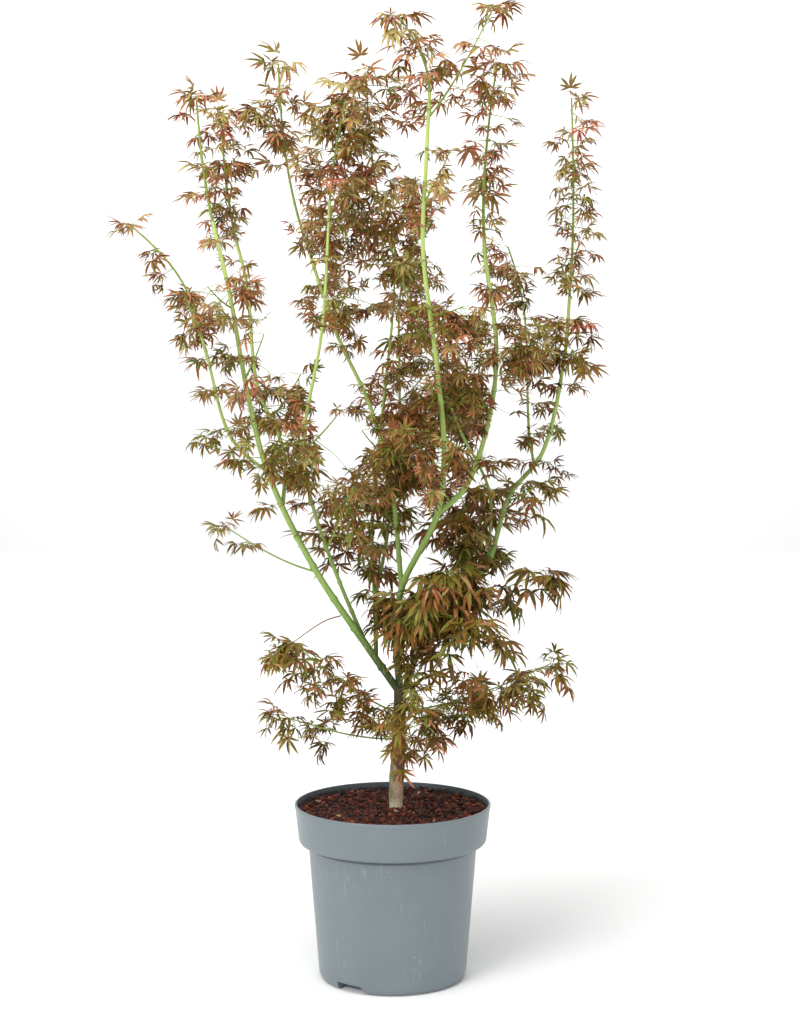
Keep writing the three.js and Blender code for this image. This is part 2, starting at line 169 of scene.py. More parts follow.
# ---------------------------------------------------------------- pot
# A round nursery pot, injection-moulded in grey polypropylene: a thin wall with a deep stacking collar under
# a rolled lip, and three drain notches in its foot, each with a small roof moulded over it.

MM = 0.001  # from here on sizes and places are in millimetres, and what isn't says so
POT_SIDES = 128
POT_OUTSIDE = [  # radius, height, and how far the corner is rounded
    (0, 0, 0), (105.5, 0, 4), (111.3, 7.5, 4), (127, 205.3, 0.8), (140.9, 206.2, 6.5), (146.8, 259.6, 0.6),
    (147.7, 260.6, 0.6), (147.7, 264.2, 0.7), (146.7, 265, 0.5),
]
POT_INSIDE = [
    (144.7, 265, 0.9), (143.4, 260, 2), (138.8, 212, 2), (136.3, 209, 1.5), (124.8, 207.7, 2),
    (109.1, 10, 3), (105.1, 3, 3), (0, 3, 0),
]
FOOT_RADIUS = 111.3
DRAIN = {"width": 50, "depth": 24, "height": 13, "wall": 2, "slope": 11, "count": 3, "first_angle": -124}
LEAN = 5 / 18  # how much of a drain's slope lies outside its width
BLOCK_ENDS = {"roof_foot": 1.5, "notch_foot": -5, "outer": FOOT_RADIUS + 20}
# The roofs end inside the thickness of the floor and of the wall.
ROOF_LIMIT = [(0, 1.5), (106.5, 1.5), (110.2, 10), (112.5, 40), (0, 40)]
# The band of body just under the collar that is painted dark as the shadow of its overhang.
COLLAR_SHADOW_EDGES = {"lower": (0.1990, 0.2020), "upper": (0.2064, 0.2076)}  # heights in metres
# Heights in metres of the band just above the mix where the inside goes darker and browner.
BROWN_BAND_EDGE = (0.262, 0.254)  # heights in metres
COLOURS = {"data_type": "RGBA", "out": 2}  # makes a Mix one of colours, which come out of its third socket


def per(millimetres):
    """The scale of a pattern whose features are this many millimetres across."""
    return 1000 / millimetres


def unit(way):
    """The same way, one long."""
    return way / np.linalg.norm(way)


def rounded(corners, segments=4):
    """A drawn line through the corners, each cut back by its rounding and bridged by a small curve."""
    line = []
    for i, (r, z, cut) in enumerate(corners):
        here = np.array([r, z])
        if cut == 0 or i in (0, len(corners) - 1):
            line.append(here)
            continue
        ends = [np.array(corners[i + step][:2]) - here for step in (-1, 1)]
        start, stop = (here + unit(way) * cut for way in ends)
        for t in np.linspace(0, 1, segments + 1):
            line.append((1 - t) ** 2 * start + 2 * t * (1 - t) * here + t * t * stop)
    return line


def select_only(piece):
    """Makes a piece the only one that the next operators act on."""
    bpy.ops.object.select_all(action="DESELECT")
    piece.select_set(True)
    bpy.context.view_layer.objects.active = piece


def close_seams(gap):
    """In edit mode, merges doubled points and turns the faces outwards. Then it leaves edit mode."""
    bpy.ops.mesh.select_all(action="SELECT")
    bpy.ops.mesh.remove_doubles(threshold=gap)
    bpy.ops.mesh.normals_make_consistent(inside=False)
    bpy.ops.object.mode_set(mode="OBJECT")


def apply_modifier(piece, kind, **settings):
    """Adds a modifier with its settings and applies it."""
    modifier = piece.modifiers.new(kind.lower(), kind)
    for name, value in settings.items():
        setattr(modifier, name, value)
    bpy.context.view_layer.objects.active = piece
    bpy.ops.object.modifier_apply(modifier=modifier.name)


def turn_profile(name, line, sides):
    """Spins a profile of radius and height about the upright axis and closes it."""
    mesh = bpy.data.meshes.new(name)
    mesh.from_pydata([(r * MM, 0, z * MM) for r, z in line], [(i, i + 1) for i in range(len(line) - 1)], [])
    turned = add_object(name, mesh)
    select_only(turned)
    bpy.ops.object.mode_set(mode="EDIT")
    bpy.ops.mesh.select_all(action="SELECT")
    bpy.ops.mesh.spin(steps=sides, angle=math.tau, center=(0, 0, 0), axis=(0, 0, 1))
    close_seams(0.02 * MM)
    return turned


def drain_block(index, grow, slope):
    """A block the size of a drain's pocket, grown all round for its roof, with one side leaning in."""
    bpy.ops.mesh.primitive_cube_add(size=1)
    block = bpy.context.object
    inside = FOOT_RADIUS - DRAIN["depth"] - grow
    half = DRAIN["width"] / 2 + grow
    low, high = BLOCK_ENDS["roof_foot" if grow else "notch_foot"], DRAIN["height"] + grow
    turn = math.radians(DRAIN["first_angle"] + index * 360 / DRAIN["count"])
    for vertex in block.data.vertices:
        x, y, z = vertex.co
        out = BLOCK_ENDS["outer"] if x > 0 else inside
        along = -half if y < 0 else half + slope * (LEAN if z < 0 else LEAN - 1)
        place = Vector((out, along, high if z > 0 else low)) * MM
        vertex.co = (place.x * math.cos(turn) - place.y * math.sin(turn),
                     place.x * math.sin(turn) + place.y * math.cos(turn), place.z)
    return block


def apply_boolean(piece, cutter, operation):
    """Joins, cuts or trims a piece by another, and removes the other."""
    apply_modifier(piece, "BOOLEAN", operation=operation, object=cutter, solver="EXACT")
    bpy.data.objects.remove(cutter)


def finish_piece(piece, name, nodes, smooth=None):
    """Names a finished piece, smooths it if asked, lets it ride on the one body, and hides the model's parts
    that it stands for.
    """
    piece.name = name
    select_only(piece)
    if smooth is not None:
        bpy.ops.object.shade_smooth_by_angle(angle=math.radians(smooth))
    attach(piece, "root")
    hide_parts(*nodes)
    bpy.ops.object.select_all(action="DESELECT")


def patterned(name, code, roughness, ior=1.5):
    """A material to be patterned, with its tree, its shader's sockets and a node's output of the place."""
    material = new_material(name, code, roughness, ior)
    tree = material.node_tree
    return material, tree, tree.nodes["Principled BSDF"].inputs, add_node(tree, "TexCoord", out="Object")


def moulded_polypropylene():
    """Grey polypropylene with a satin skin: waxy and slightly clouded, with a few chalky upright rub marks,
    and a painted shadow line in the corner under the collar."""
    material, tree, shader, place = patterned("moulded grey polypropylene", "#848E95", 0.36, 1.49)
    cloud = add_node(tree, "TexNoise", {"Vector": place, "Scale": per(60), "Detail": 3})
    streak_place = add_node(tree, "Mapping", {"Vector": place, "Scale": (per(6), per(6), per(55))})
    streaks = add_node(tree, "TexNoise", {"Vector": streak_place, "Scale": 1, "Detail": 4, "Distortion": 1.1})
    streak = add_node(tree, "MapRange", (streaks, 0.60, 0.78, 0, 0.34))
    patches = add_node(tree, "TexNoise", {"Vector": place, "Scale": per(95), "Detail": 1})
    patch = add_node(tree, "MapRange", (patches, 0.5, 0.66, 0, 1))
    rubbed = add_node(tree, "Math", (streak, patch), operation="MULTIPLY")
    flecks = add_node(tree, "TexVoronoi", {"Vector": place, "Scale": per(17)})
    fleck = add_node(tree, "MapRange", (flecks, 0.09, 0.04, 0, 0.55))
    fleck_here = add_node(tree, "Math", (fleck, patch), operation="MULTIPLY")
    marks = add_node(tree, "Math", (rubbed, fleck_here), operation="MAXIMUM")
    body = add_node(tree, "Mix", {0: cloud, 6: "#6F7A80", 7: "#7A858A"}, **COLOURS)
    marked = add_node(tree, "Mix", {0: marks, 6: body, 7: "#BCC5C9"}, **COLOURS)
    height = add_node(tree, "SeparateXYZ", [place], out=2)
    # Painted shadow: a dark line on the body just under the collar, where the overhang would shade it.
    below = add_node(tree, "MapRange", (height, *COLLAR_SHADOW_EDGES["lower"], 0, 0.85))
    above = add_node(tree, "MapRange", (height, *COLLAR_SHADOW_EDGES["upper"], 1, 0))
    collar_shadow = add_node(tree, "Math", (below, above), operation="MULTIPLY")
    colour = add_node(tree, "Mix", {0: collar_shadow, 6: marked, 7: "#3E4341"}, **COLOURS)
    tree.links.new(colour, shader["Base Color"])
    gloss = add_node(tree, "MapRange", (cloud, 0.3, 0.7, 0.30, 0.42))
    tree.links.new(gloss, shader["Roughness"])
    grain = add_node(tree, "TexNoise", {"Vector": place, "Scale": per(1.6), "Detail": 2})
    bump = add_node(tree, "Bump", {"Height": grain, "Strength": 0.2, "Distance": 0.06 * MM})
    tree.links.new(bump, shader["Normal"])
    return material


def shaded_inner_polypropylene():
    """The same plastic inside the pot, painted darker as shade, and darker and browner still in a band just
    above the mix.
    """
    material, tree, shader, place = patterned("inner polypropylene with painted shade", "#4E565B", 0.5, 1.49)
    blotches = add_node(tree, "TexNoise", {"Vector": place, "Scale": per(9), "Detail": 4})
    height = add_node(tree, "SeparateXYZ", [place], out=2)
    low = add_node(tree, "MapRange", (height, *BROWN_BAND_EDGE, -0.25, 0.35))
    reach = add_node(tree, "Math", (blotches, low), operation="ADD")
    brown_band = add_node(tree, "MapRange", (reach, 0.5, 0.7, 0, 0.85))
    # Painted shade: the plastic inside is a darker grey than the same plastic outside.
    colour = add_node(tree, "Mix", {0: brown_band, 6: "#545D62", 7: "#2E211B"}, **COLOURS)
    tree.links.new(colour, shader["Base Color"])
    return material


def make_pot():
    pot = turn_profile("pot_shell", rounded([*POT_OUTSIDE, *POT_INSIDE]), POT_SIDES)
    for index in range(DRAIN["count"]):
        roof = drain_block(index, DRAIN["wall"], 0)
        apply_boolean(roof, turn_profile("roof_limit", ROOF_LIMIT, POT_SIDES), "INTERSECT")
        apply_boolean(pot, roof, "UNION")
    for index in range(DRAIN["count"]):
        apply_boolean(pot, drain_block(index, 0, DRAIN["slope"]), "DIFFERENCE")
    pot.data.materials.clear()
    pot.data.materials.append(moulded_polypropylene())
    pot.data.materials.append(shaded_inner_polypropylene())
    # Faces that look inwards, above the floor, take the darker plastic: painted shade inside the pot.
    for face in pot.data.polygons:
        outward = Vector((face.center.x, face.center.y, 0)).normalized()
        if face.center.z > 3 * MM and face.normal.dot(outward) < -0.3:
            face.material_index = 1
    finish_piece(pot, "nursery_pot", ["pot"], smooth=34)


make_pot()

# ---------------------------------------------------------------- potting mix
# Composted bark and peat, filled to just under the lip. The bed is one dark lumpy plug, and coarse red-brown
# bark chips lie loose on it, with a few pale ones among them.

MIX = {"edge": 255, "crown": 255.7, "level_radius": 60, "edge_radius": 142.8, "wall_gap": 0.5, "foot": 3.3}
BED_FACETS = {"sides": 180, "rings": 46}
LUMPS = ((30, 4.5), (12, 3), (4, 1.6))  # size and depth of the bed's relief
CHIPS = {"count": 3600, "shortest": 3.4, "longest": 14, "outermost": 141.5, "seed": 11}
# Each kind of bark or wood with its colour and its share of the chips. Their broken fibres are dull all over.
CHIP_COLOURS = {
    "red-brown bark": ("#66301F", 0.34),
    "brown bark": ("#432016", 0.32),
    "dark wet bark": ("#1F100B", 0.27),
    "fresh-cut bark": ("#8A4C34", 0.065),
    "pale splintered wood": ("#B39A78", 0.005),
}


def damp_peat():
    """Damp peat and powdered bark, dull and rough all over, painted almost black in the gaps between its
    crumbs as their shade.
    """
    material, tree, shader, place = patterned("damp peat", "#2A1913", 0.95)
    crumbs = add_node(tree, "TexVoronoi", {"Vector": place, "Scale": per(4.5)})
    # Painted shade: darker towards each crumb's edge, in the gaps between crumbs.
    colour = add_node(tree, "Mix", {0: crumbs, 6: "#4A2A1E", 7: "#1B100C"}, **COLOURS)
    tree.links.new(colour, shader["Base Color"])
    bump = add_node(tree, "Bump", {"Height": crumbs, "Strength": 0.8, "Distance": 1 * MM})
    tree.links.new(bump, shader["Normal"])
    return material


def mix_height(radius):
    """The bed's height in millimetres: level round the trunk, then sloping down to the wall."""
    slope = (MIX["crown"] - MIX["edge"]) / (MIX["edge_radius"] - MIX["level_radius"])
    return MIX["crown"] - slope * np.maximum(radius - MIX["level_radius"], 0)


def lump_height(x, y):
    """How far the surface of the mix stands above or below its slope."""
    return sum(depth * noise.noise((x / size, y / size, size)) for size, depth in LUMPS) - 0.6


def make_bed():
    gap = MIX["wall_gap"]
    wall = [(r - gap, z) for r, z in rounded(POT_INSIDE)[::-1] if 3 <= z < MIX["edge"] - 2 and r > 90]
    wall[0] = (wall[0][0], MIX["foot"])
    (upper_radius, upper, _), (lower_radius, lower, _) = POT_INSIDE[1:3]
    edge_radius = lower_radius + (upper_radius - lower_radius) * (MIX["edge"] - lower) / (upper - lower) - gap
    top = [(r, float(mix_height(r))) for r in np.linspace(edge_radius, 3, BED_FACETS["rings"])]
    bed = turn_profile("bed", [(0, MIX["foot"]), *wall, *top, (0, MIX["crown"])], BED_FACETS["sides"])
    for index in range(DRAIN["count"]):
        apply_boolean(bed, drain_block(index, DRAIN["wall"] + 0.3, 0), "DIFFERENCE")
    for vertex in bed.data.vertices:
        x, y, z = vertex.co / MM
        if z > MIX["edge"] - 0.4 and math.hypot(x, y) < edge_radius - 1.5:
            vertex.co.z += lump_height(x, y) * MM
    bed.data.materials.clear()
    bed.data.materials.append(damp_peat())
    finish_piece(bed, "potting_mix_bed", ["potting_mix"], smooth=60)


def mesh_from_arrays(name, points, faces, materials, indices):
    """One joined mesh from arrays of points and of faces with equally many corners or fewer (-1 for none)."""
    mesh = bpy.data.meshes.new(name)
    corners = (faces >= 0).sum(axis=1)
    mesh.vertices.add(len(points))
    mesh.vertices.foreach_set("co", np.asarray(points, dtype=np.float32).ravel())
    mesh.loops.add(int(corners.sum()))
    mesh.loops.foreach_set("vertex_index", faces[faces >= 0].astype(np.int32))
    mesh.polygons.add(len(faces))
    mesh.polygons.foreach_set("loop_start", (np.cumsum(corners) - corners).astype(np.int32))
    for material in materials:
        mesh.materials.append(material)
    mesh.polygons.foreach_set("material_index", np.asarray(indices, dtype=np.int32))
    mesh.update(calc_edges=True)
    mesh.validate()
    return add_object(name, mesh)


def turned_axes(along, up):
    """Axes with x along one way and z as near to the other as they allow, as the rows of a matrix."""
    x = unit(along)
    y = unit(np.cross(up, x))
    return np.stack([x, y, np.cross(x, y)])


def chip_shape():
    """A lump of twenty faces with a unit radius."""
    bpy.ops.mesh.primitive_ico_sphere_add(subdivisions=1, radius=1)
    lump = bpy.context.object
    points = np.array([tuple(v.co) for v in lump.data.vertices])
    faces = np.array([tuple(p.vertices) for p in lump.data.polygons])
    bpy.data.objects.remove(lump)
    return points, faces


def make_chips():
    random = np.random.default_rng(CHIPS["seed"])
    shape, shape_faces = chip_shape()
    points, faces, indices = [], [], []
    shares = [share for _, share in CHIP_COLOURS.values()]
    for number in range(CHIPS["count"]):
        size = CHIPS["shortest"] + (CHIPS["longest"] - CHIPS["shortest"]) * random.random() ** 2.4
        radius = (CHIPS["outermost"] - size / 2) * math.sqrt(random.random())
        angle = random.random() * math.tau
        half = np.array([0.5, random.uniform(0.2, 0.42), random.uniform(0.12, 0.3)]) * size
        lump = shape * half * random.uniform(0.65, 1.2, size=(len(shape), 1))
        tilt = random.normal(0, 0.55, 2)
        heading = random.random() * math.tau
        axes = turned_axes(np.array([math.cos(heading), math.sin(heading), tilt[0]]),
                           np.array([0, tilt[1], 1]))
        x, y = math.cos(angle) * radius, math.sin(angle) * radius
        height = mix_height(radius) + lump_height(x, y) + random.uniform(-0.6, 1.4)
        centre = np.array([x, y, height])
        faces.append(shape_faces + number * len(shape))
        points.append((lump @ axes + centre) * MM)
        indices += [random.choice(len(shares), p=shares)] * len(shape_faces)
    barks = [new_material(name, code, roughness=0.85, ior=1.35) for name, (code, _) in CHIP_COLOURS.items()]
    chips = mesh_from_arrays("bark_chips", np.concatenate(points), np.concatenate(faces), barks, indices)
    finish_piece(chips, "bark_chips", ["potting_mix"])


make_bed()
make_chips()

# ---------------------------------------------------------------- trunk, boughs and canes
# The trunk is the rootstock with the graft's swelling low on it, in beige and brown bark. The boughs and
# canes above are the grafted tree's smooth green wood, with a ringed joint where a pair of leaves has been.

GROUND = 256
TRUNK = {
    "bends": [(5, 0, 244), (5, 0, 284), (10, 0, 360), (11, 0, 440)],
    "radii": [9.6, 11.4, 9.9, 8.8],
}
# name: parent, height where it leaves it, foot and tip radius, height where its leaves begin, bends
LIMBS = {
    "left_bough": ("trunk", 432, 5.9, 2.7, 690, [
        (-34, -10, 498), (-116, -30, 624), (-182, -48, 765), (-213, -35, 885), (-238, -25, 1024),
        (-263, -19, 1132)]),
    "right_bough": ("trunk", 436, 5.4, 2.5, 860, [
        (5, 5, 511), (14, 5, 590), (66, -5, 700), (76, -30, 792), (66, -60, 913), (44, -95, 1087),
        (48, -105, 1209), (53, -112, 1308)]),
    "low_right_bough": ("trunk", 412, 5.2, 2.6, 560, [
        (34, 40, 475), (72, 60, 534), (143, 75, 615), (178, 80, 722), (228, 80, 788), (260, 78, 927),
        (268, 75, 1025)]),
    "left_outer_cane": ("left_bough", 765, 2.6, 2.0, 800, [
        (-234, -60, 816), (-267, -80, 935), (-287, -93, 1012)]),
    "left_inner_cane": ("left_bough", 714, 3.0, 2.4, 760, [
        (-160, -8, 790), (-204, 50, 892), (-222, 90, 1045), (-238, 95, 1111)]),
    "left_centre_cane": ("left_bough", 505, 3.2, 2.0, 620, [
        (-80, 5, 600), (-117, -5, 708), (-132, -25, 798), (-103, -40, 974), (-91, -35, 1162)]),
    "back_left_cane": ("left_bough", 484, 3.4, 2.0, 560, [
        (-27, 50, 566), (-32, 90, 646), (-28, 130, 743), (-14, 160, 868), (-1, 170, 988)]),
    "back_right_cane": ("back_left_cane", 566, 2.7, 1.9, 600, [
        (-10, 100, 650), (9, 170, 805), (9, 195, 992)]),
    "centre_cane": ("right_bough", 588, 4.0, 2.5, 640, [
        (5, 60, 683), (-3, 80, 753), (-38, 100, 867), (-86, 110, 969), (-139, 110, 1130)]),
    "right_cane": ("right_bough", 700, 4.2, 3.0, 780, [
        (110, 15, 742), (146, 28, 849), (155, 30, 950), (138, 30, 1083), (136, 28, 1118)]),
    "crossing_cane": ("low_right_bough", 619, 2.5, 1.8, 660, [
        (148, 92, 728), (102, 100, 825), (49, 80, 967), (14, 60, 1047), (-4, 50, 1102)]),
    "right_inner_cane": ("low_right_bough", 769, 2.2, 1.7, 790, [
        (210, 110, 815), (206, 140, 975), (202, 145, 1014)]),
}
# Higher up the bark goes brown and then dark olive: partly its own colour, partly painted shade under the
# crown.
BARK_ZONES = {"dry_foot": (0.264, 0.276), "browning_and_crown_shade": (0.280, 0.345), "darkening": (0.325, 0.365)}  # metres
# The lowest zone is near black-green: partly old wood, partly painted shade under the crown.
WOOD_ZONES = {"oldest_and_shaded": (0.455, 0.545), "ripening": (0.52, 0.98)}  # metres
TAPER_MIDDLE = 0.62  # how far the radius has gone from foot to tip at half the length
JOINT = {"spacing": 58, "swelling": 0.32, "height": 2.2, "scar": 0.5}


class Route:
    """A smooth line through space, read by the share of its length."""

    def __init__(self, points):
        self.points = np.array(points)
        steps = np.linalg.norm(np.diff(self.points, axis=0), axis=1)
        self.run = np.concatenate([[0], np.cumsum(steps)])
        self.length = self.run[-1]

    def at(self, share):
        run = np.asarray(share) * self.length
        return np.stack([np.interp(run, self.run, self.points[:, axis]) for axis in range(3)], axis=-1)

    def way(self, share, reach=0.004):
        return unit(self.at(min(share + reach, 1)) - self.at(max(share - reach, 0)))

    def share_at_height(self, height):
        return float(np.interp(height, self.points[:, 2], self.run) / self.length)


def smooth_route(bends, per_stretch=40):
    """A centripetal Catmull-Rom curve through the bends, in millimetres."""
    knots = [np.array(bend, dtype=float) for bend in bends]
    knots = [2 * knots[0] - knots[1], *knots, 2 * knots[-1] - knots[-2]]
    points = []
    for before, here, there, after in zip(knots, knots[1:], knots[2:], knots[3:]):
        gaps = [math.sqrt(np.linalg.norm(q - p)) for p, q in ((before, here), (here, there), (there, after))]
        leave = gaps[1] * ((here - before) / gaps[0] - (there - before) / (gaps[0] + gaps[1])
                           + (there - here) / gaps[1])
        arrive = gaps[1] * ((there - here) / gaps[1] - (after - here) / (gaps[1] + gaps[2])
                            + (after - there) / gaps[2])
        for t in np.arange(per_stretch) / per_stretch:
            points.append(here + leave * t + (3 * (there - here) - 2 * leave - arrive) * t ** 2
                          + (2 * (here - there) + leave + arrive) * t ** 3)
    return Route([*points, knots[-2]])


def radius_at(radii, share):
    """The radius at a share of a limb's length, from radii that are evenly spread along it."""
    return np.interp(share, np.linspace(0, 1, len(radii)), radii)


def look_up_tree(places):
    """A tree that finds the nearest of many places."""
    tree = KDTree(len(places))
    for i, place in enumerate(places):
        tree.insert(Vector(place), i)
    tree.balance()
    return tree


def joint_places(route, name):
    """The shares of a limb's length at which it has its ringed joints, closer together towards its tip."""
    count = max(3, round(route.length / JOINT["spacing"]))
    wander = np.random.default_rng(len(name) * 31).uniform(-0.18, 0.18, count)
    return ((np.arange(count) + 0.7 + wander) / (count + 0.25)) ** 0.94


def bark_tube(name, route, radii, joints, ring_step, resolution):
    """A curve with a round section through the limb's rings, thickened at its joints, made a mesh."""
    shares = np.linspace(0, 1, max(8, round(route.length / ring_step)))
    curve = bpy.data.curves.new(name, "CURVE")
    curve.dimensions = "3D"
    curve.bevel_depth = MM
    curve.bevel_resolution = resolution
    curve.use_fill_caps = True
    spline = curve.splines.new("POLY")
    spline.points.add(len(shares) - 1)
    for point, share, place in zip(spline.points, shares, route.at(shares)):
        radius = radius_at(radii, share)
        gap = min(abs(share - joint) for joint in joints) * route.length if len(joints) else 1e9
        radius *= 1 + JOINT["swelling"] * math.exp(-(gap / JOINT["height"]) ** 2)
        point.co = (*(place * MM), 1)
        point.radius = radius
    select_only(add_object(name, curve))
    bpy.ops.object.convert(target="MESH")
    bpy.ops.object.mode_set(mode="EDIT")
    close_seams(0.01 * MM)
    return bpy.context.object


def roughen(piece, reliefs):
    """Raises and sinks a bark surface by a few soft noises, each with its size and depth."""
    for size, depth in reliefs:
        relief = bpy.data.textures.new("bark relief", "CLOUDS")
        relief.noise_scale = size * MM
        apply_modifier(piece, "DISPLACE", texture=relief, texture_coords="LOCAL", strength=depth * MM)


def rootstock_bark():
    """Young maple bark: a pale dry foot, then beige and green-grey stripes that go brown towards the fork,
    partly the bark's own colour and partly painted shade under the crown.
    """
    material, tree, shader, place = patterned("rootstock bark", "#B0A588", 0.8)
    across = add_node(tree, "SeparateXYZ", [place])
    height = add_node(tree, "SeparateXYZ", [place], out=2)
    # The trunk's +X side goes brown, and the other side stays green.
    side = add_node(tree, "MapRange", (across, -0.004, 0.016, -0.15, 0.17))
    tall_place = add_node(tree, "Mapping", {"Vector": place, "Scale": (per(9), per(9), per(30))})
    stripes = add_node(tree, "TexNoise", {"Vector": tall_place, "Scale": 1, "Detail": 4})
    striped = add_node(tree, "Math", (stripes, side), operation="SUBTRACT")
    greened = add_node(tree, "MapRange", (striped, 0.53, 0.61, 0, 0.9))
    beige = add_node(tree, "Mix", {0: greened, 6: "#C4AC90", 7: "#858B62"}, **COLOURS)
    patches = add_node(tree, "TexNoise", {"Vector": place, "Scale": per(12), "Detail": 5})
    # Partly painted shade: higher up, more of the bark is brown, and at the top it is dark olive.
    upper = add_node(tree, "MapRange", (height, *BARK_ZONES["browning_and_crown_shade"], -0.24, 0.26))
    raised = add_node(tree, "Math", (patches, upper), operation="ADD")
    brown = add_node(tree, "Math", (raised, side), operation="ADD")
    browned = add_node(tree, "MapRange", (brown, 0.47, 0.57, 0, 0.92))
    aged_and_shaded = add_node(tree, "MapRange", (height, *BARK_ZONES["darkening"], 0, 1))
    dark = add_node(tree, "Mix", {0: aged_and_shaded, 6: "#5C3A26", 7: "#4B4028"}, **COLOURS)
    patched = add_node(tree, "Mix", {0: browned, 6: beige, 7: dark}, **COLOURS)
    dry = add_node(tree, "MapRange", (height, *BARK_ZONES["dry_foot"], 0.85, 0))
    footed = add_node(tree, "Mix", {0: dry, 6: patched, 7: "#E0D8B8"}, **COLOURS)
    flat_place = add_node(tree, "Mapping", {"Vector": place, "Scale": (per(11), per(11), per(2.2))})
    cracks = add_node(tree, "TexVoronoi", {"Vector": flat_place, "Scale": 1}, feature="DISTANCE_TO_EDGE")
    crack = add_node(tree, "MapRange", (cracks, 0, 0.09, 0.5, 0))
    colour = add_node(tree, "Mix", {0: crack, 6: footed, 7: "#4A3A2A"}, **COLOURS)
    tree.links.new(colour, shader["Base Color"])
    bump = add_node(tree, "Bump", {"Height": cracks, "Strength": 0.6, "Distance": 0.5 * MM})
    tree.links.new(bump, shader["Normal"])
    return material


def green_wood():
    """First- and second-year maple wood: smooth waxy green, deeper and bluer low down, near black-green round
    the fork, partly old wood and partly painted shade under the crown, and streaked with grey.
    """
    material, tree, shader, place = patterned("green maple wood", "#7CA657", 0.48)
    height = add_node(tree, "SeparateXYZ", [place], out=2)
    young = add_node(tree, "MapRange", (height, *WOOD_ZONES["ripening"], 0, 1))
    # Partly painted shade: round the fork the wood goes near black-green.
    older_and_shaded = add_node(tree, "MapRange", (height, *WOOD_ZONES["oldest_and_shaded"], 0.95, 0))
    green = add_node(tree, "Mix", {0: young, 6: "#7CA047", 7: "#BFD973"}, **COLOURS)
    aged_and_shaded = add_node(tree, "Mix", {0: older_and_shaded, 6: green, 7: "#36431E"}, **COLOURS)
    streak_place = add_node(tree, "Mapping", {"Vector": place, "Scale": (per(3), per(3), per(26))})
    streaks = add_node(tree, "TexNoise", {"Vector": streak_place, "Scale": 1, "Detail": 3})
    streak = add_node(tree, "MapRange", (streaks, 0.5, 0.72, 0, 0.38))
    colour = add_node(tree, "Mix", {0: streak, 6: aged_and_shaded, 7: "#B7C490"}, **COLOURS)
    tree.links.new(colour, shader["Base Color"])
    bump = add_node(tree, "Bump", {"Height": streaks, "Strength": 0.35, "Distance": 0.25 * MM})
    tree.links.new(bump, shader["Normal"])
    return material


def ringed_bark():
    """Cork over an old pair of leaves: a dull tan ring round a cane, a little mottled."""
    material, tree, shader, place = patterned("corky leaf scar", "#9A8A6A", 0.8)
    cork = add_node(tree, "TexNoise", {"Vector": place, "Scale": per(2), "Detail": 2})
    colour = add_node(tree, "Mix", {0: cork, 6: "#8A8350", 7: "#BCBE84"}, **COLOURS)
    tree.links.new(colour, shader["Base Color"])
    return material


routes, limb_radii, limb_joints = {}, {}, {}


def make_trunk():
    route = smooth_route(TRUNK["bends"])
    routes["trunk"] = route
    limb_radii["trunk"] = TRUNK["radii"]
    limb_joints["trunk"] = np.array([])
    trunk = bark_tube("trunk_bark", route, TRUNK["radii"], [], ring_step=1.6, resolution=18)
    roughen(trunk, ((26, 1.6), (7, 0.8), (2.4, 0.35)))
    select_only(trunk)
    bpy.ops.object.mode_set(mode="EDIT")
    bpy.ops.mesh.select_all(action="SELECT")
    cut = (0, 0, (GROUND - 3) * MM)  # hidden in the mix
    bpy.ops.mesh.bisect(plane_co=cut, plane_no=(0, 0, 1), use_fill=True, clear_inner=True)
    bpy.ops.object.mode_set(mode="OBJECT")
    trunk.data.materials.append(rootstock_bark())
    finish_piece(trunk, "trunk_bark", ["trunk"], smooth=60)


def make_limbs():
    wood, scar = green_wood(), ringed_bark()
    for name, (parent, height, foot, tip, _, bends) in LIMBS.items():
        start = routes[parent].at(routes[parent].share_at_height(height))
        route = smooth_route([start, *bends])
        radii = [foot, foot + (tip - foot) * TAPER_MIDDLE, tip]
        joints = joint_places(route, name)
        routes[name], limb_radii[name], limb_joints[name] = route, radii, joints
        limb = bark_tube(name + "_wood", route, radii, joints, ring_step=3.2, resolution=5)
        roughen(limb, ((18, foot * 0.09), (5, 0.25)))
        limb.data.materials.append(wood)
        limb.data.materials.append(scar)
        tree = look_up_tree(route.at(joints) * MM)
        for face in limb.data.polygons:
            _, _, gap = tree.find(face.center)
            if gap < (foot + JOINT["height"]) * JOINT["scar"] * MM:
                face.material_index = 1
        finish_piece(limb, name + "_wood", [name], smooth=60)


make_trunk()
make_limbs()

# ---------------------------------------------------------------- twigs and leaves
# Each mass of foliage is a stem that leaves its limb, with side shoots in opposite pairs, each pair a quarter
# turn from the last. The shoots carry fine twigs, and these carry the leaves on thin stalks.

TIP = "tip"
# Long thin twigs that arch over from their limb, and are leafy from halfway.
ARCHING_TWIGS = {
    "left_bough": [(-77, -20, 551), (-99, -36, 546), (-126, -46, 530), (-152, -54, 512), (-178, -58, 500)],
    "right_bough": [(5, 0, 492), (10, -34, 506), (22, -62, 500), (31, -78, 474), (33, -84, 446)],
    "left_inner_cane": [
        (-258, 95, 1282), (-240, 92, 1303), (-212, 88, 1310), (-182, 84, 1292), (-162, 80, 1262)],
}
# Heights between which a limb shows, with no leaf hanging in front of it.
SHOWN = {
    "left_bough": (440, 1130), "right_bough": (575, 1300), "right_cane": (700, 1110),
    "low_right_bough": (700, 1020), "left_outer_cane": (800, 940), "left_centre_cane": (540, 690),
    "centre_cane": (600, 730), "crossing_cane": (700, 870),
}
